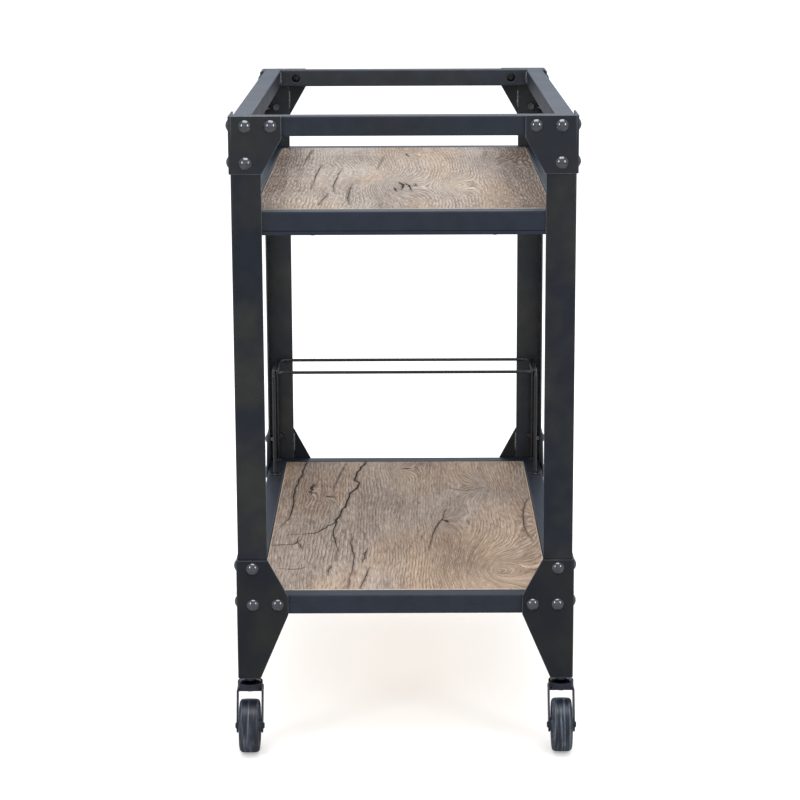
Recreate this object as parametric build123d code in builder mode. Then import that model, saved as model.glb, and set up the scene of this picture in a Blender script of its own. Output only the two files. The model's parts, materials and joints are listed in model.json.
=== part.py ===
"""Bar cart on wheels: three welded tube frames held by four angle posts, riveted-look corner
plates, two inset boards, a wire bottle rail and four swivel casters.

Millimetres, +Z up. The origin is on the floor under the middle of the cart. X runs across the
cart and Y along it; the front end is at -Y.
"""
import os

from build123d import *

os.makedirs("parts", exist_ok=True)

# ---- overall -----------------------------------------------------------------------------
WIDTH = 457.0  # across, over the corner plates
LENGTH = 762.0  # end to end, over the corner plates
HEIGHT = 869.0  # floor to the top edge of the corner plates

# ---- sheet and tube ----------------------------------------------------------------------
PLATE = 2.5  # corner plates and legs, folded sheet
POST = 2.0  # posts, folded angle
POST_FLANGE = 40.0
POST_BEND = 2.5  # outer bend radius of a post, and inner bend radius of the plates over it
TUBE = 26.0
TUBE_WALL = 1.5
TUBE_CORNER = 2.2
END_CLEARANCE = 0.6  # an end tube stops this far short of the post it points at

# ---- levels ------------------------------------------------------------------------------
TOP_FRAME_TOP = HEIGHT - 0.5
UPPER_SHELF_TOP = 743.5
LOWER_SHELF_TOP = 219.0
LEG_TOP = 269.5
LEG_BOTTOM = 102.0
POST_BOTTOM = LOWER_SHELF_TOP - TUBE
POST_TOP = TOP_FRAME_TOP
RAIL_MIDDLE = TUBE / 2  # a tube's bolts sit this far below its top

# ---- corner plate and leg outlines, measured in from the corner ------------------------
NARROW = 43.0
WIDE = 70.0
GUSSET_HEIGHT = 76.0
GUSSET_EDGE = 29.0
FOOT_WIDTH = 31.0
BOLT_NEAR = 22.0
BOLT_FAR = 55.5
GUSSET_LOW_BOLT = HEIGHT - 62.0
LEG_HIGH_BOLT = LEG_TOP - 12.5

# ---- dome-head bolts ---------------------------------------------------------------------
BOLT = 6.0
BOLT_HOLE = 6.4
DOME = 17.0
DOME_HEIGHT = 4.2
BOLT_LENGTH = 13.0
NUT_FLATS = 10.0
NUT_BORE = 6.2
NUT_HEIGHT = 5.0
SPACER = 12.0
ACCESS_HOLE = 14.0

# ---- boards and what carries them --------------------------------------------------------
BOARD = 18.0
BOARD_GAP = 1.0
BOARD_EDGE = 1.0
CLEAT_LENGTH = 30.0
CLEAT_WIDTH = 20.0
CLEAT = 3.0
CLEAT_SPACING = 250.0
BEARER = 5.0
BEARER_WIDTH = 30.0
BEARER_INSET = 5.0  # outer plate face to the bearer's edge
SCREW = 3.5
SCREW_HOLE = 3.7
SCREW_HEAD = 7.0
SCREW_HEAD_HEIGHT = 2.0
SCREW_LENGTH = 12.0
SCREW_SPARE = 1.0  # how far a screw hole runs on past the screw tip
BEARER_SCREW_X = 120.0

# ---- wire bottle rail --------------------------------------------------------------------
WIRE = 5.0
WIRE_BEND = 9.0
RAIL_HEIGHT = 388.5
RAIL_LEG_X = 212.0
RAIL_REAR_Y = 366.5
RAIL_FRONT_Y = 269.5
WELD_GAP = 0.15
FLANGE = 18.0
FLANGE_HEIGHT = 2.0
WIRE_HOLE = 5.4
WIRE_NUT_FLATS = 8.0
WIRE_NUT_HEIGHT = 4.5
WIRE_TAIL = 7.0  # below the tube it passes through

# ---- casters -----------------------------------------------------------------------------
CASTER_INSET = 15.5  # swivel axis in from the outer plate faces
TRAIL = 19.0
WHEEL_RADIUS = 36.5
WHEEL_WIDTH = 27.0
TREAD_CORNER = 4.5
TREAD_CROWN = 0.3
HUB_RADIUS = 9.0
HUB_WIDTH = 31.2
RIM_INNER = 25.0
WEB_WIDTH = 9.0
RIM_DRAFT = 2.0  # slope of the rim's inner wall
WHEEL_EASE = 1.0  # small chamfers of the hub and the rim
AXLE = 6.0
RUNNING = 0.05  # radial clearance of a shaft that turns in its hole
ARM = 2.0
ARM_GAP = 32.0
ARM_END = 10.0
ARM_HEAD = 24.0
CROWN = 2.5
CROWN_BEND = 2.2
CROWN_BOTTOM = 83.0
RACE = 34.5
RACE_WALL = 1.5
RACE_TOP = 94.0
CAP = 30.0
CAP_BOTTOM = 92.5
CAP_TOP = 96.0
CAP_SHOULDER = 1.5
COLLAR = 15.0
KING_PIN = 8.0
PIN_HEAD = 13.0
PIN_HEAD_HEIGHT = 2.2
PIN_CLEARANCE = 0.3
STEM = 10.0
STEM_HOLE = 10.4
STEM_TOP = 117.0
STEM_TIP = 1.0
BALL = 6.4
BALL_CIRCLE = 10.5
BALLS = 9
FOOT_PLATE = 28.0
FOOT_PLATE_CORNER = 3.5
FOOT_PLATE_THICKNESS = 4.0
STEM_NUT_FLATS = 16.0
STEM_NUT_HEIGHT = 8.0
AXLE_HEAD = 10.0
AXLE_HEAD_HEIGHT = 2.0

CORNERS = {
    "front_left": (-1, -1),
    "front_right": (1, -1),
    "rear_left": (-1, 1),
    "rear_right": (1, 1),
}
ENDS = {"front": -1, "rear": 1}
SIDES = {"left": -1, "right": 1}

TUBE_X = WIDTH / 2 - PLATE - POST - TUBE / 2  # centre line of the side tubes
TUBE_Y = LENGTH / 2 - PLATE - POST - TUBE / 2  # centre line of the end tubes
TUBE_CAVITY = TUBE - 2 * TUBE_WALL
END_TUBE_HALF = WIDTH / 2 - PLATE - POST - END_CLEARANCE
SIDE_TUBE_HALF = TUBE_Y - TUBE / 2
BOARD_WIDTH = 2 * (TUBE_X - TUBE / 2 - BOARD_GAP)
BOARD_LENGTH = 2 * (SIDE_TUBE_HALF - BOARD_GAP)
AXIS_X = WIDTH / 2 - CASTER_INSET
AXIS_Y = LENGTH / 2 - CASTER_INSET
TOP_BOLT_Z = TOP_FRAME_TOP - RAIL_MIDDLE
LOWER_BOLT_Z = LOWER_SHELF_TOP - RAIL_MIDDLE


def save(part, name):
    """Label a finished piece and write it."""
    part.label = name
    export_step(part, f"parts/{name}.step")


def end_face(sy, inset=0.0):
    """Sketch plane of an end of the cart, X across and Z up, in from the plates' outer face."""
    return Plane.XZ.offset(-sy * (LENGTH / 2 - inset))


def side_face(sx, inset=0.0):
    """Sketch plane of a side of the cart, Y across and Z up, in from the plates' outer face."""
    return Plane.YZ.offset(sx * (WIDTH / 2 - inset))


def corner_faces(sx, sy):
    """Both outer faces of a corner: plane, sketch direction, half size and inward sign."""
    return (
        (end_face, sy, sx, WIDTH / 2, sy),
        (side_face, sx, sy, LENGTH / 2, -sx),
    )


def drill(plane, spots, diameter, depth):
    """Straight holes in the part being built, from a plane to a signed depth."""
    with BuildSketch(plane) as holes:
        with Locations(*spots):
            Circle(diameter / 2)
    extrude(holes.sketch, amount=depth, mode=Mode.SUBTRACT)


# ---- posts, corner plates and legs -------------------------------------------------------
def build_post(sx, sy):
    """Folded angle, open to the inside of the cart."""
    bolts = (GUSSET_LOW_BOLT, TOP_BOLT_Z, LEG_HIGH_BOLT, LOWER_BOLT_Z)
    middle = (POST_TOP + POST_BOTTOM) / 2
    with BuildPart() as post:
        for face, face_sign, side, half, inward in corner_faces(sx, sy):
            with BuildSketch(face(face_sign, PLATE)):
                with Locations((side * (half - PLATE - POST_FLANGE / 2), middle)):
                    Rectangle(POST_FLANGE, POST_TOP - POST_BOTTOM)
                with Locations(*[(side * (half - BOLT_NEAR), z) for z in bolts]):
                    Circle(BOLT_HOLE / 2, mode=Mode.SUBTRACT)
            extrude(amount=inward * POST)
        upright = post.edges().filter_by(Axis.Z)
        corner = (sx * WIDTH / 2, sy * LENGTH / 2, HEIGHT / 2)
        fillet(upright.sort_by_distance(corner)[0], POST_BEND)
        upright = post.edges().filter_by(Axis.Z)
        inner = (sx * (WIDTH / 2 - PLATE - POST), sy * (LENGTH / 2 - PLATE - POST), HEIGHT / 2)
        fillet(upright.sort_by_distance(inner)[0], POST_BEND - POST)
    return post.part


def build_plate(sx, sy, outline, bolts):
    """Folded sheet over a corner, with the same outline and holes on its end and its side."""
    heights = [z for u, z in outline]
    middle = (max(heights) + min(heights)) / 2
    with BuildPart() as plate:
        for face, face_sign, side, half, inward in corner_faces(sx, sy):
            with BuildSketch(face(face_sign)):
                with BuildLine():
                    Polyline(*[(side * (half - u), z) for u, z in outline], close=True)
                make_face()
                with Locations(*[(side * (half - u), z) for u, z in bolts]):
                    Circle(BOLT_HOLE / 2, mode=Mode.SUBTRACT)
            extrude(amount=inward * PLATE)
        upright = plate.edges().filter_by(Axis.Z)
        corner = (sx * WIDTH / 2, sy * LENGTH / 2, middle)
        fillet(upright.sort_by_distance(corner)[0], POST_BEND + PLATE)
        upright = plate.edges().filter_by(Axis.Z)
        inner = (sx * (WIDTH / 2 - PLATE), sy * (LENGTH / 2 - PLATE), middle)
        fillet(upright.sort_by_distance(inner)[0], POST_BEND)
    return plate.part


GUSSET_OUTLINE = (
    (0, HEIGHT),
    (WIDE, HEIGHT),
    (WIDE, HEIGHT - GUSSET_EDGE),
    (NARROW, HEIGHT - GUSSET_HEIGHT),
    (0, HEIGHT - GUSSET_HEIGHT),
)
GUSSET_BOLTS = ((BOLT_NEAR, TOP_BOLT_Z), (BOLT_FAR, TOP_BOLT_Z), (BOLT_NEAR, GUSSET_LOW_BOLT))
LEG_OUTLINE = (
    (0, LEG_TOP),
    (NARROW, LEG_TOP),
    (WIDE, LOWER_SHELF_TOP),
    (WIDE, LOWER_SHELF_TOP - TUBE),
    (FOOT_WIDTH, LEG_BOTTOM),
    (0, LEG_BOTTOM),
)
LEG_BOLTS = ((BOLT_NEAR, LEG_HIGH_BOLT), (BOLT_NEAR, LOWER_BOLT_Z), (BOLT_FAR, LOWER_BOLT_Z))

for corner_name, (sx, sy) in CORNERS.items():
    save(build_post(sx, sy), f"post_{corner_name}")
    save(build_plate(sx, sy, GUSSET_OUTLINE, GUSSET_BOLTS), f"corner_plate_{corner_name}")
    save(build_plate(sx, sy, LEG_OUTLINE, LEG_BOLTS), f"leg_{corner_name}")


# ---- tube frames -------------------------------------------------------------------------
def build_end_tube(sy, top, bolted, from_below=(), through=()):
    """Tube across the cart. A bolted one has holes outside and access holes inside."""
    middle = top - RAIL_MIDDLE
    spots = [(side * (WIDTH / 2 - u), middle) for side in (-1, 1) for u in (BOLT_NEAR, BOLT_FAR)]
    access = [(side * (WIDTH / 2 - BOLT_FAR), middle) for side in (-1, 1)]
    outer_inset = PLATE + POST
    with BuildPart() as tube:
        with BuildSketch(Plane.YZ):
            with Locations((sy * TUBE_Y, middle)):
                RectangleRounded(TUBE, TUBE, TUBE_CORNER)
                RectangleRounded(TUBE_CAVITY, TUBE_CAVITY, TUBE_CORNER - TUBE_WALL, mode=Mode.SUBTRACT)
        extrude(amount=END_TUBE_HALF, both=True)
        if bolted:
            drill(end_face(sy, outer_inset), spots, BOLT_HOLE, sy * TUBE / 2)
            drill(end_face(sy, outer_inset + TUBE), access, ACCESS_HOLE, -sy * TUBE / 2)
        if from_below:
            drill(Plane.XY.offset(top - TUBE), from_below, SCREW_HOLE, TUBE / 2)
        if through:
            drill(Plane.XY.offset(top - TUBE), through, WIRE_HOLE, TUBE)
    return tube.part


def build_side_tube(sx, top, bolted, through=()):
    """Tube along the cart, butted between the end tubes."""
    middle = top - RAIL_MIDDLE
    spots = [(side * (LENGTH / 2 - BOLT_FAR), middle) for side in (-1, 1)]
    outer_inset = PLATE + POST
    with BuildPart() as tube:
        with BuildSketch(Plane.XZ):
            with Locations((sx * TUBE_X, middle)):
                RectangleRounded(TUBE, TUBE, TUBE_CORNER)
                RectangleRounded(TUBE_CAVITY, TUBE_CAVITY, TUBE_CORNER - TUBE_WALL, mode=Mode.SUBTRACT)
        extrude(amount=SIDE_TUBE_HALF, both=True)
        if bolted:
            drill(side_face(sx, outer_inset), spots, BOLT_HOLE, -sx * TUBE / 2)
            drill(side_face(sx, outer_inset + TUBE), spots, ACCESS_HOLE, sx * TUBE / 2)
        if through:
            drill(Plane.XY.offset(top - TUBE), through, WIRE_HOLE, TUBE)
    return tube.part


BEARER_SCREWS = {
    name: [(side * BEARER_SCREW_X, sy * TUBE_Y) for side in (-1, 1)]
    for name, sy in ENDS.items()
}

REAR_RAIL_FEET = {"front": (), "rear": [(sx * RAIL_LEG_X, RAIL_REAR_Y) for sx in (-1, 1)]}

for name, sy in ENDS.items():
    top_tube = build_end_tube(sy, TOP_FRAME_TOP, True)
    upper_tube = build_end_tube(sy, UPPER_SHELF_TOP, False, from_below=BEARER_SCREWS[name])
    lower_tube = build_end_tube(sy, LOWER_SHELF_TOP, True, through=REAR_RAIL_FEET[name])
    save(top_tube, f"top_rail_{name}")
    save(upper_tube, f"upper_shelf_rail_{name}")
    save(lower_tube, f"lower_shelf_rail_{name}")
for name, sx in SIDES.items():
    feet = [(sx * RAIL_LEG_X, RAIL_FRONT_Y)]
    save(build_side_tube(sx, TOP_FRAME_TOP, True), f"top_rail_{name}")
    save(build_side_tube(sx, UPPER_SHELF_TOP, False), f"upper_shelf_rail_{name}")
    save(build_side_tube(sx, LOWER_SHELF_TOP, True, through=feet), f"lower_shelf_rail_{name}")

for name, sy in ENDS.items():
    with BuildPart() as bearer:
        with BuildSketch(Plane.XY.offset(UPPER_SHELF_TOP - TUBE - BEARER)):
            with Locations((0, sy * (LENGTH / 2 - BEARER_INSET - BEARER_WIDTH / 2))):
                Rectangle(2 * END_TUBE_HALF, BEARER_WIDTH)
            with Locations(*BEARER_SCREWS[name]):
                Circle(SCREW_HOLE / 2, mode=Mode.SUBTRACT)
        extrude(amount=BEARER)
    save(bearer.part, f"upper_shelf_bearer_{name}")


# ---- boards, cleats and screws -----------------------------------------------------------
CLEAT_X = TUBE_X - TUBE / 2 - CLEAT_WIDTH / 2
CLEAT_SPOTS = [(sx * CLEAT_X, row * CLEAT_SPACING) for sx in (-1, 1) for row in (-1, 0, 1)]
SHELVES = {"upper_board": UPPER_SHELF_TOP, "lower_board": LOWER_SHELF_TOP}

for name, top in SHELVES.items():
    with BuildPart() as board:
        with BuildSketch(Plane.XY.offset(top - BOARD)):
            Rectangle(BOARD_WIDTH, BOARD_LENGTH)
        extrude(amount=BOARD)
        chamfer(board.faces().sort_by(Axis.Z)[-1].edges(), BOARD_EDGE)
        drill(Plane.XY.offset(top - BOARD), CLEAT_SPOTS, SCREW_HOLE, SCREW_LENGTH - CLEAT + SCREW_SPARE)
    save(board.part, name)

with BuildPart() as cleats:
    for top in SHELVES.values():
        with BuildSketch(Plane.XY.offset(top - BOARD - CLEAT)):
            with Locations(*CLEAT_SPOTS):
                Rectangle(CLEAT_WIDTH, CLEAT_LENGTH)
                Circle(SCREW_HOLE / 2, mode=Mode.SUBTRACT)
        extrude(amount=CLEAT)
save(cleats.part, "board_cleats")

with BuildPart() as screw:
    Cylinder(SCREW / 2, SCREW_LENGTH, align=(Align.CENTER, Align.CENTER, Align.MIN))
    with Locations((0, 0, -SCREW_HEAD_HEIGHT)):
        Cylinder(SCREW_HEAD / 2, SCREW_HEAD_HEIGHT, align=(Align.CENTER, Align.CENTER, Align.MIN))
    chamfer(screw.edges().filter_by(GeomType.CIRCLE).sort_by(Axis.Z)[0], SCREW_HEAD_HEIGHT / 3)

bearer_bottom = UPPER_SHELF_TOP - TUBE - BEARER
screw_places = [(x, y, top - BOARD - CLEAT) for top in SHELVES.values() for x, y in CLEAT_SPOTS]
for spots in BEARER_SCREWS.values():
    screw_places += [(x, y, bearer_bottom) for x, y in spots]
with BuildPart() as screws:
    with Locations(*screw_places):
        add(screw.part)
save(screws.part, "shelf_screws")


# ---- dome-head bolts, nuts and spacers ---------------------------------------------------
def on_ends(bolts, inset):
    """Axis frames of the given bolts on the end faces of all corners, pointing outwards."""
    return [
        Plane((sx * (WIDTH / 2 - u), sy * (LENGTH / 2 - inset), z), z_dir=(0, sy, 0))
        for sx, sy in CORNERS.values()
        for u, z in bolts
    ]


def on_sides(bolts, inset):
    """Axis frames of the given bolts on the side faces of all corners, pointing outwards."""
    return [
        Plane((sx * (WIDTH / 2 - inset), sy * (LENGTH / 2 - u), z), z_dir=(sx, 0, 0))
        for sx, sy in CORNERS.values()
        for u, z in bolts
    ]


def build_nut(flats, hole, height):
    """Hexagonal nut with its outer face at the origin, running down."""
    with BuildPart() as nut:
        with BuildSketch():
            RegularPolygon(flats / 2, 6, major_radius=False)
            Circle(hole / 2, mode=Mode.SUBTRACT)
        extrude(amount=-height)
    return nut.part


DOME_RADIUS = (DOME**2 / 4 + DOME_HEIGHT**2) / (2 * DOME_HEIGHT)

with BuildPart() as dome_bolt:
    with BuildSketch(Plane.XZ):
        with BuildLine():
            Polyline(
                (DOME / 2, 0),
                (BOLT / 2, 0),
                (BOLT / 2, -BOLT_LENGTH),
                (0, -BOLT_LENGTH),
                (0, DOME_HEIGHT),
            )
            RadiusArc((0, DOME_HEIGHT), (DOME / 2, 0), DOME_RADIUS)
        make_face()
    revolve(axis=Axis.Z)

with BuildPart() as spacer:
    Cylinder(SPACER / 2, POST, align=(Align.CENTER, Align.CENTER, Align.MAX))
    Hole(BOLT_HOLE / 2)

bolt_nut = build_nut(NUT_FLATS, NUT_BORE, NUT_HEIGHT)
BEHIND_POST = PLATE + POST
BEHIND_TUBE_WALL = PLATE + POST + TUBE_WALL


def save_bolts(level, post_z, rail_z):
    """The bolts and nuts of one level: one through the post alone, two at the height of a tube."""
    post_bolt = (BOLT_NEAR, post_z)
    near = (BOLT_NEAR, rail_z)
    far = (BOLT_FAR, rail_z)
    bolts = (post_bolt, near, far)
    with BuildPart() as dome_bolts:
        with Locations(*on_ends(bolts, 0), *on_sides(bolts, 0)):
            add(dome_bolt.part)
    save(dome_bolts.part, f"dome_bolts_{level}")

    # a side bolt near the corner enters the open end of the end tube, so its nut sits on the post
    behind_post = on_ends([post_bolt], BEHIND_POST) + on_sides([post_bolt, near], BEHIND_POST)
    in_tube = on_ends([near, far], BEHIND_TUBE_WALL) + on_sides([far], BEHIND_TUBE_WALL)
    with BuildPart() as nuts:
        with Locations(*behind_post, *in_tube):
            add(bolt_nut)
    save(nuts.part, f"bolt_nuts_{level}")


save_bolts("upper", GUSSET_LOW_BOLT, TOP_BOLT_Z)
save_bolts("lower", LEG_HIGH_BOLT, LOWER_BOLT_Z)

far_bolts = ((BOLT_FAR, TOP_BOLT_Z), (BOLT_FAR, LOWER_BOLT_Z))
with BuildPart() as spacers:
    with Locations(*on_ends(far_bolts, PLATE), *on_sides(far_bolts, PLATE)):
        add(spacer.part)
save(spacers.part, "bolt_spacers")


# ---- wire bottle rail --------------------------------------------------------------------
RING_X = RAIL_LEG_X - WIRE - WELD_GAP
LOWER_TUBE_BOTTOM = LOWER_SHELF_TOP - TUBE
RAIL_FEET = [(sx * RAIL_LEG_X, y) for sx in (-1, 1) for y in (RAIL_FRONT_Y, RAIL_REAR_Y)]

with BuildPart() as ring:
    with BuildLine(Plane.XY.offset(RAIL_HEIGHT)) as path:
        ring_corners = (
            (RING_X, RAIL_FRONT_Y),
            (RING_X, RAIL_REAR_Y),
            (-RING_X, RAIL_REAR_Y),
            (-RING_X, RAIL_FRONT_Y),
        )
        FilletPolyline(*ring_corners, radius=WIRE_BEND, close=True)
    with BuildSketch(Plane(path.line @ 0, z_dir=path.line % 0)):
        Circle(WIRE / 2)
    sweep(path=path.line)
save(ring.part, "bottle_rail_ring")

for name, sx in SIDES.items():
    with BuildPart() as rail_leg:
        with BuildLine(Plane.YZ.offset(sx * RAIL_LEG_X)) as path:
            FilletPolyline(
                (RAIL_FRONT_Y, LOWER_TUBE_BOTTOM - WIRE_TAIL),
                (RAIL_FRONT_Y, RAIL_HEIGHT),
                (RAIL_REAR_Y, RAIL_HEIGHT),
                (RAIL_REAR_Y, LOWER_TUBE_BOTTOM - WIRE_TAIL),
                radius=WIRE_BEND,
            )
        with BuildSketch(Plane(path.line @ 0, z_dir=path.line % 0)):
            Circle(WIRE / 2)
        sweep(path=path.line)
    save(rail_leg.part, f"bottle_rail_leg_{name}")

with BuildPart() as flanges:
    with BuildSketch(Plane.XY.offset(LOWER_SHELF_TOP)):
        with Locations(*RAIL_FEET):
            Circle(FLANGE / 2)
            Circle(WIRE_HOLE / 2, mode=Mode.SUBTRACT)
    extrude(amount=FLANGE_HEIGHT)
    top_circles = flanges.edges().filter_by(GeomType.CIRCLE).group_by(Axis.Z)[-1]
    outer_circles = top_circles.filter_by(lambda edge: edge.radius > WIRE)
    chamfer(outer_circles, FLANGE_HEIGHT / 3)
save(flanges.part, "bottle_rail_flanges")

wire_nut = build_nut(WIRE_NUT_FLATS, WIRE_HOLE, WIRE_NUT_HEIGHT)
with BuildPart() as wire_nuts:
    with Locations(*[(x, y, LOWER_TUBE_BOTTOM) for x, y in RAIL_FEET]):
        add(wire_nut)
save(wire_nuts.part, "bottle_rail_nuts")


# ---- casters -----------------------------------------------------------------------------
def build_stem(x, y):
    """Stem, collar, bearing cap and king pin: everything that stays still above the fork."""
    pin_head_top = CROWN_BOTTOM - PIN_CLEARANCE
    profile = (
        (0, pin_head_top - PIN_HEAD_HEIGHT),
        (PIN_HEAD / 2, pin_head_top - PIN_HEAD_HEIGHT),
        (PIN_HEAD / 2, pin_head_top),
        (KING_PIN / 2, pin_head_top),
        (KING_PIN / 2, CAP_BOTTOM),
        (CAP / 2, CAP_BOTTOM),
        (CAP / 2, CAP_TOP - CAP_SHOULDER),
        (COLLAR / 2, CAP_TOP),
        (COLLAR / 2, LEG_BOTTOM),
        (STEM / 2, LEG_BOTTOM),
        (STEM / 2, STEM_TOP - STEM_TIP),
        (STEM / 2 - STEM_TIP, STEM_TOP),
        (0, STEM_TOP),
    )
    with BuildPart() as stem:
        with BuildSketch(Plane.XZ.offset(-y)):
            with BuildLine():
                Polyline(*[(x + radius, z) for radius, z in profile], close=True)
            make_face()
        revolve(axis=Axis((x, y, 0), (0, 0, 1)))
    return stem.part


def build_fork(x, y, trail):
    """Folded fork with the bearing cup on its crown and the axle trailing behind the pin."""
    arm_inner = ARM_GAP / 2
    crown_top = CROWN_BOTTOM + CROWN
    with BuildPart() as fork:
        with BuildSketch(Plane.XY.offset(CROWN_BOTTOM)):
            with Locations((x, y)):
                Rectangle(ARM_GAP + 2 * ARM, ARM_HEAD)
        extrude(amount=CROWN)
        fillet(fork.edges().filter_by(Axis.Y).group_by(Axis.Z)[-1], CROWN_BEND)
        for side in (-1, 1):
            with BuildSketch(Plane.YZ.offset(x + side * arm_inner)):
                with BuildLine():
                    Line((y - ARM_HEAD / 2, CROWN_BOTTOM), (y + ARM_HEAD / 2, CROWN_BOTTOM))
                    CenterArc((y + trail, WHEEL_RADIUS), ARM_END, 0, 360)
                make_hull()
            extrude(amount=side * ARM)
        with BuildSketch(Plane.XY.offset(crown_top)):
            with Locations((x, y)):
                Circle(RACE / 2)
                Circle(RACE / 2 - RACE_WALL, mode=Mode.SUBTRACT)
        extrude(amount=RACE_TOP - crown_top)
        drill(Plane.XY.offset(CROWN_BOTTOM), [(x, y)], KING_PIN + 2 * RUNNING, CROWN)
        bore_start = x - arm_inner - ARM
        axle_hole = AXLE + 2 * RUNNING
        drill(Plane.YZ.offset(bore_start), [(y + trail, WHEEL_RADIUS)], axle_hole, ARM_GAP + 2 * ARM)
    return fork.part


def build_axle(x, y):
    """Plain axle with a low round head outside each fork arm."""
    half = ARM_GAP / 2 + ARM
    with BuildPart() as axle:
        with BuildSketch(Plane.XY.offset(WHEEL_RADIUS)):
            with BuildLine():
                Polyline(
                    (x - half - AXLE_HEAD_HEIGHT, y),
                    (x - half - AXLE_HEAD_HEIGHT, y + AXLE_HEAD / 3),
                    (x - half, y + AXLE_HEAD / 2),
                    (x - half, y + AXLE / 2),
                    (x + half, y + AXLE / 2),
                    (x + half, y + AXLE_HEAD / 2),
                    (x + half + AXLE_HEAD_HEIGHT, y + AXLE_HEAD / 3),
                    (x + half + AXLE_HEAD_HEIGHT, y),
                    close=True,
                )
            make_face()
        revolve(axis=Axis((x, y, WHEEL_RADIUS), (1, 0, 0)))
    return axle.part


def build_wheel(x, y):
    """Moulded wheel: hub, thin web and a rim with rounded tread corners."""
    bore = AXLE / 2 + RUNNING
    half_profile = (
        (bore, HUB_WIDTH / 2),
        (HUB_RADIUS, HUB_WIDTH / 2),
        (HUB_RADIUS + WHEEL_EASE, WEB_WIDTH / 2),
        (RIM_INNER, WEB_WIDTH / 2),
        (RIM_INNER + RIM_DRAFT, WHEEL_WIDTH / 2 - WHEEL_EASE),
        (RIM_INNER + RIM_DRAFT + WHEEL_EASE, WHEEL_WIDTH / 2),
    )
    outline = [(x + half, y + radius) for radius, half in half_profile]
    mirrored = [(x - half, y + radius) for radius, half in reversed(half_profile)]
    tread_edge = WHEEL_WIDTH / 2 - TREAD_CORNER
    tread_y = y + WHEEL_RADIUS - TREAD_CROWN
    with BuildPart() as wheel:
        with BuildSketch(Plane.XY.offset(WHEEL_RADIUS)):
            with BuildLine():
                right = (x + WHEEL_WIDTH / 2, tread_y - TREAD_CORNER)
                left = (x - WHEEL_WIDTH / 2, tread_y - TREAD_CORNER)
                Polyline(*outline, right)
                RadiusArc(right, (x + tread_edge, tread_y), -TREAD_CORNER)
                ThreePointArc(
                    (x + tread_edge, tread_y),
                    (x, y + WHEEL_RADIUS),
                    (x - tread_edge, tread_y),
                )
                RadiusArc((x - tread_edge, tread_y), left, -TREAD_CORNER)
                Polyline(left, *mirrored)
                Line(mirrored[-1], outline[0])
            make_face()
        revolve(axis=Axis((x, y, WHEEL_RADIUS), (1, 0, 0)))
    return wheel.part


caster_axes = {}
for corner_name, (sx, sy) in CORNERS.items():
    x = sx * AXIS_X
    y = sy * AXIS_Y
    caster_axes[corner_name] = (x, y)
    save(build_stem(x, y), f"caster_stem_{corner_name}")
    save(build_fork(x, y, sy * TRAIL), f"caster_fork_{corner_name}")
    save(build_axle(x, y + sy * TRAIL), f"caster_axle_{corner_name}")
    save(build_wheel(x, y + sy * TRAIL), f"caster_wheel_{corner_name}")

foot_plate_inset = PLATE + FOOT_PLATE / 2
with BuildPart() as foot_plates:
    with BuildSketch(Plane.XY.offset(LEG_BOTTOM)):
        for sx, sy in CORNERS.values():
            centre = (sx * (WIDTH / 2 - foot_plate_inset), sy * (LENGTH / 2 - foot_plate_inset))
            with Locations(centre):
                RectangleRounded(FOOT_PLATE, FOOT_PLATE, FOOT_PLATE_CORNER)
        with Locations(*caster_axes.values()):
            Circle(STEM_HOLE / 2, mode=Mode.SUBTRACT)
    extrude(amount=FOOT_PLATE_THICKNESS)
save(foot_plates.part, "foot_plates")

stem_nut = build_nut(STEM_NUT_FLATS, STEM_HOLE, STEM_NUT_HEIGHT)
nut_top = LEG_BOTTOM + FOOT_PLATE_THICKNESS + STEM_NUT_HEIGHT
with BuildPart() as stem_nuts:
    with Locations(*[(x, y, nut_top) for x, y in caster_axes.values()]):
        add(stem_nut)
save(stem_nuts.part, "caster_stem_nuts")

ball_middle = (CROWN_BOTTOM + CROWN + CAP_BOTTOM) / 2
with BuildPart() as balls:
    for x, y in caster_axes.values():
        with Locations((x, y, ball_middle)):
            with PolarLocations(BALL_CIRCLE, BALLS):
                Sphere(BALL / 2)
save(balls.part, "caster_balls")
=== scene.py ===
import json
import math
import random

import bmesh
import bpy
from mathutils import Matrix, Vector, noise
from mathutils.geometry import delaunay_2d_cdt


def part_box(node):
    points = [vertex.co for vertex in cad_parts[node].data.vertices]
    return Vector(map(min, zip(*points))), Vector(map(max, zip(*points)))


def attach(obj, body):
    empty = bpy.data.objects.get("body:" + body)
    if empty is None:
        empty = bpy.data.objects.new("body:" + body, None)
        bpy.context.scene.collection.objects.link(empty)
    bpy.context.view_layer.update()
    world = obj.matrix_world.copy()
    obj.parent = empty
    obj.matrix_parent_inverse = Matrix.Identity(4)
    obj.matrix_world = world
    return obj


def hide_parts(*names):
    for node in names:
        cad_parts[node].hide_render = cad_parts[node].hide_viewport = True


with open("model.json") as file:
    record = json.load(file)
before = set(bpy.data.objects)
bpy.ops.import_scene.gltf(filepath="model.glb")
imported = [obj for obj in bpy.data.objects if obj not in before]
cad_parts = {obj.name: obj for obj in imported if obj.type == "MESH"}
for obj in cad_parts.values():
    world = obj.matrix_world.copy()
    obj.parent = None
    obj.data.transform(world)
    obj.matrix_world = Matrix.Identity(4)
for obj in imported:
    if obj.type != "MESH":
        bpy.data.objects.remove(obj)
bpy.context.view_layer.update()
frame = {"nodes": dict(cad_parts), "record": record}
nodes = frame["nodes"]
MM = 0.001
NEAR = 0.00001  # counts as the same place
CORNERS = {
    "front_left": (-1, -1),
    "front_right": (1, -1),
    "rear_left": (-1, 1),
    "rear_right": (1, 1),
}
FRAMES = ("top", "upper_shelf", "lower_shelf")

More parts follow.
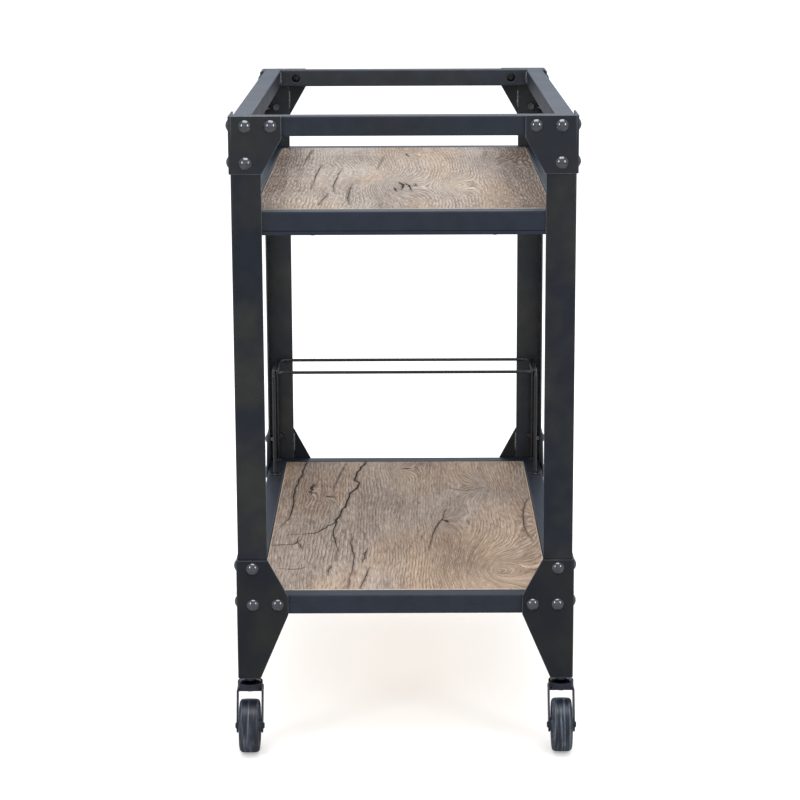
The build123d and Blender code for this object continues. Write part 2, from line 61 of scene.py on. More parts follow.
# boards, in metres
RING_PITCH = 0.0048  # from one dark grain line to the next
GRAIN_SHIFT = 0.37  # for each step of the seed, so that no two boards match
WORN_EDGE = 0.0011  # width and depth of the rolled top edge
EDGE_FRAY = 0.0005
RIM_STEPS = 24  # points along each side of the rim
STAIN_REACH = 0.0035  # how far the dark stain spreads from a crack
CRACK_DEPTH = 0.0016
FULL_DEPTH_HALF = 0.0007  # half width from which a crack has its full depth
THINNEST_HALF = 0.00012
SAME_SPOT = 0.000001  # outline points closer than this are one

# steel edges, in metres
SHEET_EDGE = 0.0005  # bevel of the posts, corner plates and legs
TUBE_EDGE = 0.0004

# weld beads, in metres
FRAME_WELD_RADIUS = 0.0017
FRAME_WELD_INSET = 0.0030  # from the tube's top and bottom
POST_WELD = 0.030  # length
POST_WELD_RADIUS = 0.0018
POST_WELD_DROP = 0.008  # below the tube, or below the leg's top edge
PLATE_FACE = 0.0028  # just inside the sheet of a corner plate or leg
POST_WELD_INSET = 0.0005
BEAD_RING_GAP = 0.0022
BEAD_SIDES = 10


# ---------------------------------------------------------------- materials

class Look:
    """A node material under construction, in the object's own coordinates."""

    def __init__(self, name):
        self.material = bpy.data.materials.new(name)
        self.material.use_nodes = True
        self.tree = self.material.node_tree
        self.shader = self.tree.nodes["Principled BSDF"]
        self.place = self.node("ShaderNodeTexCoord").outputs["Object"]

    def put(self, socket, value):
        if isinstance(value, bpy.types.NodeSocket):
            self.tree.links.new(value, socket)
        else:
            socket.default_value = value

    def node(self, kind, inputs=None, **settings):
        made = self.tree.nodes.new(kind)
        for key, value in settings.items():
            setattr(made, key, value)
        for key, value in (inputs or {}).items():
            self.put(made.inputs[key], value)
        return made

    def math(self, operation, a, b=0.0, clamp=False):
        inputs = {0: a, 1: b}
        made = self.node("ShaderNodeMath", inputs, operation=operation, use_clamp=clamp)
        return made.outputs[0]

    def grey(self, level):
        """A grey of that level, to multiply a colour by."""
        return self.node("ShaderNodeCombineColor", {0: level, 1: level, 2: level}).outputs[0]

    def stretched(self, scale, place=None):
        inputs = {0: place or self.place, 1: scale}
        return self.node("ShaderNodeVectorMath", inputs, operation="MULTIPLY").outputs[0]

    def noise(self, scale, detail=2.0, rough=0.5, place=None):
        """Noise about 0 to 1. A scale of three numbers stretches it."""
        if isinstance(scale, tuple):
            place = self.stretched(scale, place)
            scale = 1.0
        inputs = {
            "Vector": place or self.place,
            "Scale": scale,
            "Detail": detail,
            "Roughness": rough,
        }
        return self.node("ShaderNodeTexNoise", inputs).outputs[0]

    def span(self, value, low, high, to_low=0.0, to_high=1.0, smooth=False):
        kind = "SMOOTHSTEP" if smooth else "LINEAR"
        inputs = {0: value, 1: low, 2: high, 3: to_low, 4: to_high}
        return self.node("ShaderNodeMapRange", inputs, interpolation_type=kind).outputs[0]

    def mix(self, factor, a, b, blend="MIX"):
        made = self.node("ShaderNodeMix", data_type="RGBA", blend_type=blend)
        self.put(made.inputs[0], factor)
        self.put(made.inputs[6], a)
        self.put(made.inputs[7], b)
        return made.outputs[2]

    def ramp(self, value, stops):
        made = self.node("ShaderNodeValToRGB", {0: value})
        elements = made.color_ramp.elements
        while len(elements) < len(stops):
            elements.new(0.5)
        for element, (position, colour) in zip(elements, stops):
            element.position = position
            element.color = (*colour, 1.0)
        return made.outputs[0]

    def bump(self, height, strength, distance):
        inputs = {"Height": height, "Strength": strength, "Distance": distance}
        made = self.node("ShaderNodeBump", inputs)
        self.put(self.shader.inputs["Normal"], made.outputs[0])

    def set(self, **values):
        for key, value in values.items():
            self.put(self.shader.inputs[key.replace("_", " ")], value)
        return self


def rgb(red, green, blue):
    return (red, green, blue, 1.0)


def paint(name, cool, olive, roughness, gloss=0.5, patch=7.0):
    """Semi-gloss charcoal powder coat with fine orange peel.

    cool and olive are the colours of its uneven patches. Some areas are duller than others.
    """
    look = Look(name)
    patches = look.span(look.noise(patch, 3.0, 0.55), 0.36, 0.66, smooth=True)
    colour = look.mix(patches, rgb(*cool), rgb(*olive))
    mottle = look.span(look.noise(55.0, 4.0, 0.6), 0.25, 0.75, 0.82, 1.22)
    colour = look.mix(1.0, colour, look.grey(mottle), "MULTIPLY")
    rub = look.span(look.noise(9.0, 3.0, 0.5), 0.3, 0.7, roughness - 0.03, roughness + 0.04)
    peel = look.noise(850.0, 2.0, 0.5)
    look.bump(peel, 0.12, 0.0002)
    look.set(Base_Color=colour, Roughness=rub, Specular_IOR_Level=gloss)
    return look.material


def metal(name, colour, roughness, scratch=240.0):
    """Plated or bare steel with a fine uneven polish."""
    look = Look(name)
    tone = look.span(look.noise(scratch, 4.0, 0.6), 0.3, 0.7, 0.75, 1.15)
    tinted = look.mix(1.0, rgb(*colour), look.grey(tone), "MULTIPLY")
    rub = look.span(look.noise(scratch * 2, 3.0), 0.3, 0.7, roughness * 0.75, roughness * 1.3)
    look.bump(look.noise(scratch * 4, 2.0), 0.08, 0.0001)
    look.set(Base_Color=tinted, Roughness=rub, Metallic=1.0)
    return look.material


def rubber(name):
    """Black tread rubber: fine turned lines round the wheel in bluish painted sheen, mixed with
    dusty wear.
    """
    look = Look(name)
    lines = look.noise((420.0, 14.0, 14.0), 4.0, 0.65)
    dust = look.noise(60.0, 4.0, 0.6)
    # the bluish light streaks are painted sheen, with the dusty wear mixed in
    streaks = look.span(lines, 0.45, 0.72, smooth=True)
    blue_sheen_and_dust = look.math("MULTIPLY", streaks, look.span(dust, 0.35, 0.65, 0.35, 1.0))
    colour = look.mix(blue_sheen_and_dust, rgb(0.008, 0.010, 0.016), rgb(0.145, 0.180, 0.245))
    look.bump(lines, 0.35, 0.0005)
    rub = look.span(lines, 0.3, 0.7, 0.30, 0.48)
    look.set(Base_Color=colour, Roughness=rub, Specular_IOR_Level=0.6)
    return look.material


def oak(name, half_width, half_length, figures, tint, sides, lean, painted_shade_ends, seed):
    """Weathered oak: lines that run along Y and swirl round each figure, fibres, darker sides.

    figures: centre, reach across, reach along, and how far the lines are pushed there.
    sides: strength of the dark sides at the front and the rear; lean moves them across.
    painted_shade_ends: painted light and shade, the brightness at the front and the rear.
    """
    look = Look(name)
    parts = look.node("ShaderNodeSeparateXYZ", {0: look.place})
    across, along = parts.outputs[0], parts.outputs[1]
    offset = (seed, seed * 0.7, 0.0)
    shift = look.node("ShaderNodeVectorMath", {0: look.place, 1: offset}).outputs[0]
    warp = look.noise((5.0, 1.5, 1.0), 3.0, 0.5, shift)
    field = look.math("ADD", across, look.span(warp, 0.2, 0.8, -0.020, 0.020))
    for x, y, radius_x, radius_y, lift in figures:
        centred = look.node("ShaderNodeVectorMath", {0: look.place, 1: (-x, -y, 0.0)}).outputs[0]
        scaled = look.stretched((1 / radius_x, 1 / radius_y, 0.0), centred)
        gradient = look.node("ShaderNodeTexGradient", {0: scaled}, gradient_type="QUADRATIC_SPHERE")
        field = look.math("ADD", field, look.math("MULTIPLY", gradient.outputs[1], lift))
    # evenly spaced lines along the field, broken up, each with a light flank
    wobble = look.span(look.noise((70.0, 22.0, 1.0), 3.0, 0.6), 0.2, 0.8, -2.0, 2.0)
    phase = look.math("ADD", look.math("MULTIPLY", field, 2 * math.pi / RING_PITCH), wobble)
    wave = look.math("SINE", phase)
    flank = look.math("SINE", look.math("ADD", phase, 1.5))
    fade = look.span(look.noise((15.0, 4.5, 1.0), 3.0, 0.6, shift), 0.36, 0.60, 0.10, 1.0)
    dashes = look.span(look.noise((190.0, 120.0, 1.0), 2.0, 0.5), 0.35, 0.6, 0.35, 1.0)
    fade = look.math("MULTIPLY", fade, dashes)
    dark_lines = look.math("MULTIPLY", look.span(wave, 0.15, 0.95, smooth=True), fade)
    light_lines = look.math("MULTIPLY", look.span(flank, 0.25, 0.98, smooth=True), fade)
    # fibres follow the same field
    lane = look.node("ShaderNodeCombineXYZ", {0: field, 1: along, 2: parts.outputs[2]}).outputs[0]
    fibre = look.noise((430.0, 38.0, 8.0), 5.0, 0.7, lane)
    streak = look.noise((85.0, 5.0, 3.0), 4.0, 0.6, lane)
    cloud = look.noise((9.0, 4.0, 1.0), 3.0, 0.55, shift)
    speck = look.noise((520.0, 330.0, 1.0), 2.0, 0.6)
    tone = look.math("ADD", look.math("MULTIPLY", streak, 0.5), look.math("MULTIPLY", cloud, 0.5))
    colour = look.ramp(
        look.span(tone, 0.32, 0.68),
        ((0.0, (0.200, 0.150, 0.115)), (0.45, (0.345, 0.283, 0.235)), (1.0, (0.500, 0.432, 0.375))),
    )
    # greyed and golden areas
    golden = look.span(look.noise((7.0, 2.6, 1.0), 2.0, 0.5, lane), 0.40, 0.62, smooth=True)
    hue = look.mix(golden, rgb(0.95, 0.99, 1.04), rgb(1.06, 0.97, 0.84))
    colour = look.mix(1.0, colour, hue, "MULTIPLY")
    colour = look.mix(look.math("MULTIPLY", dark_lines, 0.78), colour, rgb(0.120, 0.088, 0.070))
    colour = look.mix(look.math("MULTIPLY", light_lines, 0.48), colour, rgb(0.700, 0.620, 0.545))
    colour = look.mix(look.span(fibre, 0.52, 0.68, 0.0, 0.78), colour, rgb(0.120, 0.088, 0.068))
    colour = look.mix(look.span(fibre, 0.46, 0.30, 0.0, 0.70), colour, rgb(0.680, 0.600, 0.525))
    grit = look.span(speck, 0.30, 0.70, 0.80, 1.20)
    colour = look.mix(1.0, colour, look.grey(grit), "MULTIPLY")
    # ruddier, darker sides
    side = look.math("ABSOLUTE", look.math("ADD", across, lean))
    ragged = look.span(streak, 0.3, 0.7, -0.030, 0.030)
    inner, outer = half_width - 0.085, half_width - 0.008
    edge = look.span(look.math("ADD", side, ragged), inner, outer, smooth=True)
    deep = look.span(along, -half_length, half_length, *sides)
    lines_share = look.math("MULTIPLY", dark_lines, 0.45)
    grain = look.math("ADD", lines_share, look.span(fibre, 0.40, 0.62, 0.35, 0.75))
    band = look.math("MULTIPLY", look.math("MULTIPLY", edge, deep), grain, clamp=True)
    colour = look.mix(band, colour, rgb(0.085, 0.050, 0.028))
    # the stain round each crack and knot
    crack = look.node("ShaderNodeAttribute", attribute_name="crack").outputs["Fac"]
    stained = look.math("MULTIPLY", crack, look.span(fibre, 0.3, 0.7, 0.35, 0.85))
    colour = look.mix(stained, colour, rgb(0.090, 0.064, 0.048))
    colour = look.mix(1.0, colour, rgb(*tint), "MULTIPLY")
    # painted light and shade: brighter at the front, darker towards the rear
    painted_shade_ramp = look.span(along, -half_length, half_length, *painted_shade_ends)
    colour = look.mix(1.0, colour, look.grey(painted_shade_ramp), "MULTIPLY")
    groove = look.math("MULTIPLY", dark_lines, -0.5)
    height = look.math("ADD", look.math("MULTIPLY", fibre, -0.6), groove)
    look.bump(height, 0.8, 0.0010)
    rub = look.span(fibre, 0.3, 0.7, 0.55, 0.78)
    look.set(Base_Color=colour, Roughness=rub, Specular_IOR_Level=0.35)
    return look.material


def plain_wood(name, low, high, roughness):
    """Plain grained wood: light worn edges, partly painted highlight, and the near-black painted
    shade at the bottom of a crack.
    """
    look = Look(name)
    grain = look.span(look.noise((300.0, 25.0, 300.0), 4.0, 0.6), 0.3, 0.7)
    look.set(Base_Color=look.mix(grain, rgb(*low), rgb(*high)), Roughness=roughness)
    look.bump(grain, 0.3, 0.0004)
    return look.material


post_paint = paint(
    "post_paint",
    (0.0055, 0.0085, 0.0150),
    (0.0165, 0.0170, 0.0150),
    0.40,
    gloss=0.40,
    patch=14.0,
)
# A lighter copy of the post paint: painted light on the rear posts, which stand in the shade of the
# shelves.
rear_post_painted_light = paint(
    "rear_post_painted_light",
    (0.0140, 0.0180, 0.0240),
    (0.0260, 0.0270, 0.0250),
    0.40,
    patch=14.0,
)
plate_paint = paint(
    "plate_paint",
    (0.0085, 0.0110, 0.0165),
    (0.0125, 0.0132, 0.0125),
    0.36,
    patch=9.0,
)
leg_paint = paint(
    "leg_paint",
    (0.0035, 0.0055, 0.0105),
    (0.0105, 0.0110, 0.0095),
    0.38,
    gloss=0.40,
    patch=12.0,
)
rail_paint = paint(
    "rail_paint",
    (0.0110, 0.0160, 0.0290),
    (0.0120, 0.0150, 0.0210),
    0.38,
    gloss=0.42,
    patch=5.0,
)
# A lighter copy of the rail paint: painted light on the rear top rail.
rear_rail_painted_light = paint(
    "rear_rail_painted_light",
    (0.0200, 0.0260, 0.0380),
    (0.0210, 0.0240, 0.0290),
    0.38,
    gloss=0.42,
    patch=5.0,
)
# lighter edge paint: partly worn paint, partly a painted highlight along the rounded edges
worn_and_highlit_paint = paint("worn_and_highlit_paint", (0.085, 0.095, 0.112), (0.050, 0.055, 0.062), 0.28, patch=40.0)
bolt_steel = metal("bolt_steel", (0.190, 0.190, 0.192), 0.13, scratch=160.0)
wire_paint = paint(
    "wire_paint",
    (0.0120, 0.0125, 0.0140),
    (0.0090, 0.0095, 0.0100),
    0.24,
    gloss=0.8,
    patch=30.0,
)
caster_black = metal("caster_black", (0.075, 0.082, 0.105), 0.15, scratch=120.0)
weld_paint = paint(
    "weld_paint",
    (0.075, 0.080, 0.085),
    (0.200, 0.205, 0.205),
    0.26,
    gloss=0.8,
    patch=260.0,
)
zinc = metal("zinc", (0.55, 0.56, 0.58), 0.30)
bearing = metal("bearing", (0.62, 0.63, 0.65), 0.15)
tread = rubber("tread_rubber")
# near-black painted shade in the depth of each crack
crack_shade = plain_wood("crack_shade", (0.016, 0.011, 0.008), (0.045, 0.030, 0.021), 0.9)
# light rim of the boards: worn bare wood, partly a painted highlight on the rolled edge
worn_and_highlit_wood = plain_wood("worn_and_highlit_wood", (0.46, 0.37, 0.28), (0.70, 0.60, 0.49), 0.7)

SLOT_LOOKS = {
    "post_paint": post_paint,
    "plate_paint": plate_paint,
    "rail_paint": rail_paint,
    "dome_bolt": bolt_steel,
    "plated_steel": zinc,
    "wire_paint": wire_paint,
    "bearing_steel": bearing,
    "wheel_rubber": tread,
    "caster_black": caster_black,
}
for entry in frame["record"]["subparts"]:
    look = SLOT_LOOKS.get(entry["material_slot"])
    if entry["node"].startswith("leg_"):
        look = leg_paint
    # painted light: the rear posts get the lighter copy of the post paint
    elif entry["node"].startswith("post_rear"):
        look = rear_post_painted_light
    # painted light: the rear top rail gets the lighter copy of the rail paint
    elif entry["node"] == "top_rail_rear":
        look = rear_rail_painted_light
    if look:
        cad_mesh = nodes[entry["node"]].data
        cad_mesh.materials.clear()
        cad_mesh.materials.append(look)


def soften(name, width):
    """Rounds a CAD node's sharp edges, with a lighter edge paint on them: partly worn paint, partly
    painted highlight.
    """
    cad = nodes[name]
    cad.modifiers.new("weld", "WELD").merge_threshold = NEAR
    flat = cad.modifiers.new("flat", "DECIMATE")
    flat.decimate_type = "DISSOLVE"
    flat.angle_limit = math.radians(1)
    bevel = cad.modifiers.new("bevel", "BEVEL")
    bevel.width = width
    bevel.segments = 2
    bevel.limit_method = "ANGLE"
    bevel.angle_limit = math.radians(40)
    bevel.use_clamp_overlap = False
    bevel.harden_normals = True
    cad.data.materials.append(worn_and_highlit_paint)
    bevel.material = 1


for name in nodes:
    if name.startswith(("post_", "corner_plate_", "leg_")):
        soften(name, SHEET_EDGE)
    elif "_rail_" in name and not name.startswith("bottle"):
        soften(name, TUBE_EDGE)


# ------------------------------------------------------------------- boards

def new_piece(name, mesh_builder, materials, body, slot, *replaced):
    mesh = bpy.data.meshes.new(name)
    mesh_builder.to_mesh(mesh)
    mesh_builder.free()
    piece = bpy.data.objects.new(name, mesh)
    bpy.context.scene.collection.objects.link(piece)
    for material in materials:
        mesh.materials.append(material)
    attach(piece, body)
    if replaced:
        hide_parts(*replaced)
    return piece


class Crack:
    """A split in a board: a centre line with a half width at each of its points."""

    def __init__(self, route, width, seed, tapers=(True, True)):
        draw = random.Random(seed)
        centre = smooth_route([Vector(point) for point in route])
        count = len(centre)
        self.points, self.halves, self.sides = [], [], []
        for index, point in enumerate(centre):
            ahead = centre[min(index + 1, count - 1)] - centre[max(index - 1, 0)]
            side = Vector((-ahead.y, ahead.x)).normalized()
            wander = noise.noise(Vector((index * 0.45, seed * 3.1, 0.0)))
            share = index / (count - 1)
            narrow = 1.0
            if tapers[0]:
                narrow *= min(1.0, share * 3.5)
            if tapers[1]:
                narrow *= min(1.0, (1 - share) * 2.5)
            self.points.append(point + side * wander * width * 1.6)
            self.sides.append(side)
            half = width / 2 * narrow * draw.uniform(0.65, 1.2)
            self.halves.append(max(THINNEST_HALF, half))

    def outline(self, extra):
        """A loop round the crack, that far outside its walls."""
        left = [p + s * (h + extra) for p, s, h in zip(self.points, self.sides, self.halves)]
        right = [p - s * (h + extra) for p, s, h in zip(self.points, self.sides, self.halves)]
        ends = []
        for tip, inner in ((self.points[-1], self.points[-2]), (self.points[0], self.points[1])):
            ends.append([tip + (tip - inner).normalized() * extra] if extra else [])
        return left + ends[0] + right[::-1] + ends[1]

    def nearest(self, spot):
        """(distance from the wall, half width there); negative inside the crack."""
        best = (1.0, 0.0)
        for start, end, h0, h1 in zip(self.points, self.points[1:], self.halves, self.halves[1:]):
            run = end - start
            share = max(0.0, min(1.0, (spot - start).dot(run) / max(run.length_squared, 1e-12)))
            half = h0 + (h1 - h0) * share
            gap = (spot - start - run * share).length - half
            if gap < best[0]:
                best = (gap, half)
        return best


def smooth_route(route, steps=7):
    """Catmull-Rom points through a short route."""
    ends = [route[0] * 2 - route[1], *route, route[-1] * 2 - route[-2]]
    made = []
    for a, b, c, d in zip(ends, ends[1:], ends[2:], ends[3:]):
        for step in range(steps):
            t = step / steps
            made.append(
                0.5 * (2 * b + (c - a) * t + (2 * a - 5 * b + 4 * c - d) * t ** 2
                       + (3 * b - a - 3 * c + d) * t ** 3)
            )
    made.append(route[-1].copy())
    return made


def board(name, cad_name, cracks, material, seed):
    """The board with its splits cut in, and worn, uneven top edges."""
    low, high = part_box(cad_name)
    inner_x, inner_y = high.x - WORN_EDGE, high.y - WORN_EDGE
    flat, lines = [], []

    def run(points, closed=False):
        start = len(flat)
        for p in points:
            x = max(-inner_x, min(inner_x, p.x))
            y = max(-inner_y, min(inner_y, p.y))
            flat.append(Vector((x, y)))
        lines.extend((start + i, start + i + 1) for i in range(len(points) - 1))
        if closed:
            lines.append((start + len(points) - 1, start))

    rim = []
    turns = ((-1, -1), (1, -1), (1, 1), (-1, 1), (-1, -1))
    for (sx, sy), (ex, ey) in zip(turns, turns[1:]):
        for i in range(RIM_STEPS):
            t = i / RIM_STEPS
            rim.append(Vector(((sx + (ex - sx) * t) * inner_x, (sy + (ey - sy) * t) * inner_y)))
    run(rim, closed=True)
    for crack in cracks:
        run(crack.points)
        for extra in (0.0, STAIN_REACH):
            run(crack.outline(extra), closed=True)
    spots, _, faces, _, _, _ = delaunay_2d_cdt(flat, lines, [], 0, SAME_SPOT, False)

    mesh = bmesh.new()
    stain = mesh.verts.layers.float.new("crack")
    rim_verts = []
    for spot in spots:
        gap, half = min((c.nearest(spot) for c in cracks), key=lambda found: found[0])
        inside = max(0.0, min(1.0, -gap / max(half, SAME_SPOT)))
        depth = CRACK_DEPTH * inside * min(1.0, half / FULL_DEPTH_HALF)
        vert = mesh.verts.new((spot.x, spot.y, high.z - depth))
        vert[stain] = max(0.0, min(1.0, 1.0 - gap / STAIN_REACH)) ** 1.5
        rim_verts.append(vert)
    for corners in faces:
        try:
            face = mesh.faces.new([rim_verts[i] for i in corners])
        except ValueError:
            continue
        middle = face.calc_center_median().xy
        # faces inside a crack take the painted crack shade
        if min(c.nearest(middle)[0] for c in cracks) < -SAME_SPOT:
            face.material_index = 1
    # the rim rolls over into the sides
    rim_edges = [e for e in mesh.edges if e.is_boundary]
    grown = bmesh.ops.extrude_edge_only(mesh, edges=rim_edges)["geom"]
    for vert in (g for g in grown if isinstance(g, bmesh.types.BMVert)):
        fray = noise.noise(vert.co * 45.0 + Vector((seed, 0, 0))) * EDGE_FRAY
        if abs(vert.co.x) > inner_x - NEAR:
            vert.co.x = math.copysign(high.x, vert.co.x)
        if abs(vert.co.y) > inner_y - NEAR:
            vert.co.y = math.copysign(high.y, vert.co.y)
        vert.co.z = high.z - WORN_EDGE - abs(fray)
    for face in (g for g in grown if isinstance(g, bmesh.types.BMFace)):
        face.material_index = 2
    skirt = [e for e in mesh.edges if e.is_boundary]
    grown = bmesh.ops.extrude_edge_only(mesh, edges=skirt)["geom"]
    for vert in (g for g in grown if isinstance(g, bmesh.types.BMVert)):
        vert.co.z = low.z
    bmesh.ops.contextual_create(mesh, geom=[e for e in mesh.edges if e.is_boundary])
    bmesh.ops.recalc_face_normals(mesh, faces=mesh.faces)
    looks = (material, crack_shade, worn_and_highlit_wood)
    return new_piece(name, mesh, looks, "frame", "oak_board", cad_name)


def make_cracks(low, high, rows, seed):
    """Rows: width in mm, which ends taper, and a route.

    A route is in shares of the board: across from the left, along from the front.
    """
    made = []
    for number, (width, tapers, *route) in enumerate(rows):
        points = [
            (low.x + (high.x - low.x) * across, low.y + (high.y - low.y) * along)
            for across, along in route
        ]
        made.append(Crack(points, width * MM, seed + number, tapers))
    return made


# which ends of a crack taper
BOTH, END, NONE = (True, True), (False, True), (False, False)
LOWER_CRACKS = (
    (
        3.0, NONE, (0.34, 1.0), (0.31, 0.92), (0.295, 0.84), (0.31, 0.79), (0.28, 0.70),
        (0.26, 0.58), (0.24, 0.48),
    ),
    (1.6, END, (0.24, 0.48), (0.23, 0.41), (0.235, 0.35), (0.25, 0.28), (0.25, 0.19)),
    (2.2, END, (0.24, 0.48), (0.20, 0.44), (0.17, 0.40), (0.14, 0.39), (0.05, 0.38)),
    (2.2, END, (0.085, 1.0), (0.07, 0.85), (0.055, 0.73), (0.06, 0.59), (0.045, 0.48), (0.0, 0.43)),
    (1.6, END, (0.0, 0.305), (0.08, 0.31), (0.10, 0.33), (0.10, 0.37)),
    (1.2, END, (0.10, 0.33), (0.12, 0.28)),
    (0.9, BOTH, (0.25, 0.98), (0.21, 0.75)),
    (1.4, BOTH, (0.30, 0.39), (0.30, 0.31), (0.315, 0.22), (0.31, 0.12), (0.30, 0.0)),
    (1.0, BOTH, (0.345, 0.40), (0.35, 0.34)),
    (1.6, BOTH, (0.36, 0.28), (0.345, 0.18)),
    (1.5, BOTH, (0.375, 0.15), (0.355, 0.06), (0.345, 0.0)),
    (1.0, BOTH, (0.23, 0.16), (0.225, 0.09)),
    (1.5, BOTH, (0.66, 0.58), (0.64, 0.49), (0.615, 0.43), (0.60, 0.35), (0.585, 0.26)),
    (1.3, BOTH, (1.0, 0.69), (0.97, 0.61), (0.955, 0.51), (0.955, 0.42), (0.975, 0.32)),
    (1.0, BOTH, (0.68, 0.755), (0.74, 0.735), (0.82, 0.76)),
    (1.2, BOTH, (0.05, 0.14), (0.11, 0.135), (0.15, 0.15)),
    (4.5, BOTH, (0.12, 0.80), (0.122, 0.755), (0.12, 0.70)),
    (4.0, BOTH, (0.185, 0.69), (0.215, 0.685)),
    (3.5, BOTH, (0.48, 0.93), (0.53, 0.935)),
    (4.0, BOTH, (0.64, 0.50), (0.67, 0.47)),
)
UPPER_CRACKS = (
    (1.1, BOTH, (0.185, 0.68), (0.175, 0.53), (0.17, 0.28)),
    (1.3, BOTH, (0.265, 0.62), (0.25, 0.40), (0.25, 0.24)),
    (1.3, BOTH, (0.315, 0.36), (0.305, 0.18), (0.315, 0.05)),
    (1.1, BOTH, (0.235, 0.22), (0.21, 0.04)),
    (0.9, BOTH, (0.13, 0.96), (0.11, 0.66)),
    (0.5, BOTH, (0.42, 0.82), (0.40, 0.60)),
    (1.3, END, (1.0, 0.84), (0.90, 0.74), (0.86, 0.66)),
    (1.1, END, (1.0, 0.70), (0.92, 0.70), (0.87, 0.74)),
    (4.2, BOTH, (0.480, 0.39), (0.497, 0.33), (0.490, 0.26)),
    (2.6, BOTH, (0.505, 0.37), (0.520, 0.32), (0.530, 0.24)),
    (2.4, BOTH, (0.465, 0.30), (0.475, 0.24)),
    (2.0, BOTH, (0.540, 0.36), (0.550, 0.31)),
    (2.4, BOTH, (0.505, 0.88), (0.52, 0.82)),
)
LOWER_FIGURES = (
    (0.130, -0.265, 0.105, 0.210, 0.095),
    (0.062, -0.010, 0.040, 0.090, 0.028),
    (-0.150, 0.175, 0.022, 0.070, 0.016),
    (-0.120, 0.130, 0.022, 0.045, 0.014),
    (0.000, 0.304, 0.040, 0.080, 0.028),
    (0.110, 0.190, 0.060, 0.120, -0.035),
    (0.195, -0.010, 0.045, 0.200, -0.040),
)
UPPER_FIGURES = (
    (-0.001, -0.121, 0.070, 0.230, 0.060),
    (0.075, -0.110, 0.048, 0.170, 0.045),
    (0.005, 0.249, 0.035, 0.080, 0.022),
    (-0.060, 0.020, 0.070, 0.180, -0.025),
    (0.150, 0.150, 0.055, 0.160, 0.030),
)
# In each board, the last entry paints light and shade: brighter at the front, darker at the rear,
# most under the upper shelf.
BOARDS = (
    ("upper", UPPER_CRACKS, 11, {
        "figures": UPPER_FIGURES,
        "tint": (0.99, 0.965, 0.945),
        "sides": (1.3, 1.6),
        "lean": 0.010,
        "painted_shade_ends": (1.06, 0.95),
    }),
    ("lower", LOWER_CRACKS, 37, {
        "figures": LOWER_FIGURES,
        "tint": (0.97, 0.910, 0.865),
        "sides": (0.25, 0.75),
        "lean": -0.028,
        "painted_shade_ends": (1.17, 0.81),
    }),
)
for place, cracks, seed, grain in BOARDS:
    cad_board = f"{place}_board"
    low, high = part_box(cad_board)
    wood = oak(f"oak_{place}", high.x, high.y, seed=seed * GRAIN_SHIFT, **grain)
    board(f"{place}_oak_board", cad_board, make_cracks(low, high, cracks, seed), wood, seed)


# -------------------------------------------------------------- weld beads

def bead(name, start, end, radius, seed):
    """A lumpy weld along a line, closed at both ends."""
    draw = random.Random(seed)
    run = end - start
    side = run.orthogonal().normalized()
    other = run.normalized().cross(side)
    rings = max(6, int(run.length / BEAD_RING_GAP))
    mesh = bmesh.new()
    loops = []
    for index in range(rings + 1):
        share = index / rings
        swell = radius * (0.55 + 0.45 * math.sin(math.pi * share) ** 0.4) * draw.uniform(0.8, 1.2)
        ripple = radius * 0.25 * (index % 2)
        middle = start + run * share + side * draw.uniform(-0.15, 0.15) * radius
        loop = []
        for k in range(BEAD_SIDES):
            a = math.tau * k / BEAD_SIDES
            out = side * math.cos(a) + other * math.sin(a)
            loop.append(mesh.verts.new(middle + out * (swell - ripple)))
        loops.append(loop)
    for near, far in zip(loops, loops[1:]):
        for k in range(BEAD_SIDES):
            after = (k + 1) % BEAD_SIDES
            mesh.faces.new((near[k], near[after], far[after], far[k]))
    mesh.faces.new(list(reversed(loops[0])))
    mesh.faces.new(loops[-1])
    bmesh.ops.recalc_face_normals(mesh, faces=mesh.faces)
    for face in mesh.faces:
        face.smooth = True
    return new_piece(name, mesh, (weld_paint,), "frame", "rail_paint")


for level in FRAMES:
    side_low, side_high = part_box(f"{level}_rail_right")
    for corner, (sx, sy) in CORNERS.items():
        x = sx * side_low.x
        y = sy * side_high.y
        bead(
            f"{level}_weld_{corner}",
            Vector((x, y, side_low.z + FRAME_WELD_INSET)),
            Vector((x, y, side_high.z - FRAME_WELD_INSET)),
            FRAME_WELD_RADIUS,
            int(side_high.z * 1000) + sx * 3 + sy * 5,
        )

tube_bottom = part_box("top_rail_front")[0].z
for corner, (sx, sy) in CORNERS.items():
    post_low, post_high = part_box(f"post_{corner}")
    plate_low, plate_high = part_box(f"corner_plate_{corner}")
    leg_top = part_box(f"leg_{corner}")[1].z
    flange_x = (post_high.x if sx < 0 else post_low.x) - sx * POST_WELD_INSET
    face_y = (plate_high.y - PLATE_FACE) if sy > 0 else (plate_low.y + PLATE_FACE)
    for part, edge_z in (("plate", tube_bottom), ("leg", leg_top)):
        start_z = edge_z - POST_WELD_DROP - POST_WELD
        bead(
            f"{part}_weld_{corner}",
            Vector((flange_x, face_y, start_z)),
            Vector((flange_x, face_y, start_z + POST_WELD)),
            POST_WELD_RADIUS,
            int(start_z * 500) + sx * 7 + sy * 11,
        )


# ---------------------------------------------------- floor, light and camera

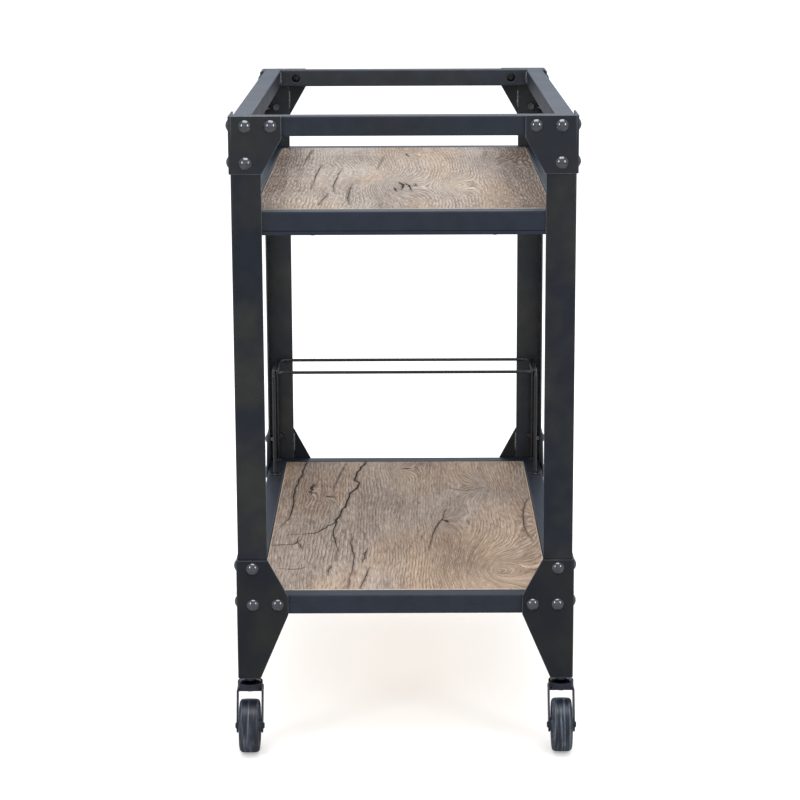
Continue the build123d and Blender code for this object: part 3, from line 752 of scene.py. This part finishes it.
def pale_floor():
    mesh = bmesh.new()
    bmesh.ops.create_grid(mesh, x_segments=8, y_segments=8, size=60.0)
    data = bpy.data.meshes.new("floor")
    mesh.to_mesh(data)
    mesh.free()
    floor = bpy.data.objects.new("floor", data)
    bpy.context.scene.collection.objects.link(floor)
    look = Look("pale_floor")
    rays = look.node("ShaderNodeLightPath").outputs["Is Glossy Ray"]
    seen = look.mix(rays, rgb(0.86, 0.86, 0.86), rgb(0.30, 0.31, 0.33))
    look.set(Base_Color=seen, Roughness=0.9, Specular_IOR_Level=0.1)
    glow = look.mix(rays, rgb(1.0, 1.0, 1.0), rgb(0.0, 0.0, 0.0))
    look.set(Emission_Color=glow, Emission_Strength=0.30)
    data.materials.append(look.material)


def softbox(name, place, aim, size, power):
    data = bpy.data.lights.new(name, "AREA")
    data.shape = "RECTANGLE"
    data.size, data.size_y = size
    data.energy = power
    lamp = bpy.data.objects.new(name, data)
    bpy.context.scene.collection.objects.link(lamp)
    lamp.location = place
    lamp.rotation_euler = (Vector(aim) - Vector(place)).to_track_quat("-Z", "Y").to_euler()


def studio_world():
    """White to the eye, a dimmer, slightly blue room in reflections."""
    world = bpy.data.worlds.new("studio")
    bpy.context.scene.world = world
    world.use_nodes = True
    tree = world.node_tree
    shader = tree.nodes["Background"]
    rays = tree.nodes.new("ShaderNodeLightPath")
    pick = tree.nodes.new("ShaderNodeMix")
    pick.data_type = "RGBA"
    pick.inputs[6].default_value = rgb(1.0, 1.0, 1.0)
    pick.inputs[7].default_value = rgb(0.42, 0.48, 0.58)
    tree.links.new(rays.outputs["Is Glossy Ray"], pick.inputs[0])
    tree.links.new(pick.outputs[2], shader.inputs["Color"])
    shader.inputs["Strength"].default_value = 1.08


pale_floor()
studio_world()
softbox("top_box", (0.0, -0.6, 3.1), (0.0, -0.1, 0.3), (2.0, 1.8), 33.0)
softbox("rim_box", (0.0, 2.6, 2.4), (0.0, 0.0, 0.6), (2.4, 0.8), 13.0)
softbox("left_box", (-2.0, -2.2, 1.7), (0.0, -0.2, 0.6), (0.45, 1.2), 12.0)
softbox("right_box", (2.0, -2.2, 1.7), (0.0, -0.2, 0.6), (0.45, 1.2), 12.0)

camera_data = bpy.data.cameras.new("camera")
camera_data.lens = 103.09
camera_data.sensor_width = 36.0
camera_data.shift_x = -0.005
camera_data.shift_y = -0.06
camera_data.clip_start = 0.05
camera_data.clip_end = 200.0
camera = bpy.data.objects.new("camera", camera_data)
bpy.context.scene.collection.objects.link(camera)
camera.location = (0.002, -3.350, 1.172)
camera.rotation_euler = (math.radians(78.29), math.radians(0.22), 0.0)
bpy.context.scene.camera = camera
bpy.context.scene.view_settings.view_transform = "Standard"
